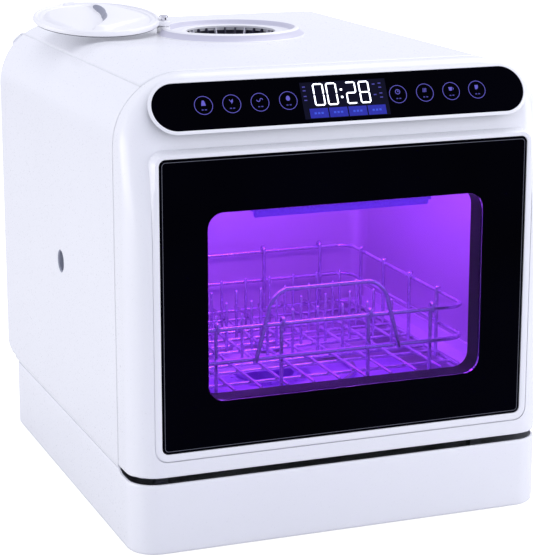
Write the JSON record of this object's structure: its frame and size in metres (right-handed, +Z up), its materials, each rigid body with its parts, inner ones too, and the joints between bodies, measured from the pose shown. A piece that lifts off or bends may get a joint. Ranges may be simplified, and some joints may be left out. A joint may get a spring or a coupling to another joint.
{
  "type": "countertop dishwasher",
  "caption": "Compact free-standing dishwasher with a drop-down windowed door, a sliding wire rack, a sloping touch strip and a top fill opening under a swivel lid.",
  "frame": {"origin": "middle of the footprint on the floor, under the rubber feet", "axes": "+Z up, the door faces -Y, +X to the right seen from the front"},
  "size_m": [0.42, 0.487, 0.4721],
  "materials": {
    "white_plastic": "gloss white moulded plastic",
    "white_lid": "gloss white moulded plastic",
    "grey_plastic": "satin grey plastic",
    "dark_plastic": "satin dark plastic",
    "liner_plastic": "satin light grey plastic",
    "rubber": "soft matte rubber",
    "gasket": "soft grey rubber",
    "steel": "brushed stainless steel",
    "bright_steel": "polished steel",
    "wire": "nylon-coated wire, pale lavender grey",
    "black_glass": "black printed glass, gloss",
    "clear_glass": "clear glass, violet-lit",
    "lamp": "violet lamp cover",
    "tank_plastic": "translucent moulded plastic",
    "circuit": "circuit board",
    "motor": "painted motor can"
  },
  "bodies": {
    "housing": {"base_tray": "white_plastic", "rubber_feet": "rubber", "side_panel_left": "white_plastic", "side_panel_right": "white_plastic", "top_cover": "white_plastic", "back_panel": "white_plastic", "back_screws": "bright_steel", "back_grille": "grey_plastic", "side_port": "grey_plastic", "front_frame": "liner_plastic", "gap_strip": "dark_plastic", "hinge_arms": "steel", "tub": "steel", "tub_gasket": "gasket", "rack_rails": "liner_plastic", "sump": "grey_plastic", "filter_plate": "steel", "filter_cup": "grey_plastic", "spray_hub": "grey_plastic", "hub_nut": "grey_plastic", "heater": "steel", "pump_housing": "dark_plastic", "wash_motor": "motor", "delivery_pipe": "dark_plastic", "drain_pump": "dark_plastic", "drain_hose": "rubber", "drain_spigot": "grey_plastic", "inlet_valve": "grey_plastic", "inlet_hose": "rubber", "inlet_nipple": "grey_plastic", "water_tank": "tank_plastic", "feed_hose": "rubber", "fill_funnel": "tank_plastic", "fill_collar": "white_lid", "fill_strainer": "grey_plastic", "lid_pivot_pin": "bright_steel", "vent_duct": "tank_plastic", "fan_housing": "dark_plastic", "main_board": "circuit", "cord_inlet": "dark_plastic", "latch_housing": "grey_plastic"},
    "door": {"door_frame": "white_plastic", "door_glass": "black_glass", "window_pane": "clear_glass", "window_surround": "dark_plastic", "inner_pane": "clear_glass", "door_liner": "liner_plastic", "lamp_bar": "lamp", "control_lens": "black_glass", "display_board": "circuit", "latch_hook": "grey_plastic", "hinge_pins": "bright_steel"},
    "rack": {"rack_basket": "wire", "rack_tines": "wire", "rack_handle": "wire"},
    "lid": {"fill_lid": "white_lid", "lid_seal": "gasket"},
    "spray_arm": {"spray_arm": "liner_plastic"},
    "impeller": {"impeller": "grey_plastic"},
    "fan_rotor": {"fan_rotor": "dark_plastic"}
  },
  "joints": [
    {"name": "door_hinge", "type": "hinge", "parent": "housing", "child": "door", "pos_m": [0, -0.2355, 0.085], "axis": [1, 0, 0], "range_deg": [0, 90]},
    {"name": "rack_slide", "type": "slide", "parent": "housing", "child": "rack", "axis": [0, -1, 0], "range_m": [0, 0.11]},
    {"name": "lid_swivel", "type": "hinge", "parent": "housing", "child": "lid", "pos_m": [-0.07196, 0.07892, 0.4532], "axis": [0, 0.0654, -0.9979], "range_deg": [0, 180]},
    {"name": "spray_spin", "type": "hinge", "parent": "housing", "child": "spray_arm", "pos_m": [0, -0.0315, 0.119], "axis": [0, 0, 1], "continuous": true},
    {"name": "impeller_spin", "type": "hinge", "parent": "housing", "child": "impeller", "pos_m": [0.08, -0.0315, 0.061], "axis": [1, 0, 0], "continuous": true},
    {"name": "fan_spin", "type": "hinge", "parent": "housing", "child": "fan_rotor", "pos_m": [0.12, 0.2145, 0.385], "axis": [0, 1, 0], "continuous": true}
  ],
  "couplings": [
    {"joint": "rack_slide", "follows": "door_hinge", "m_per_rad": 0.07}
  ]
}
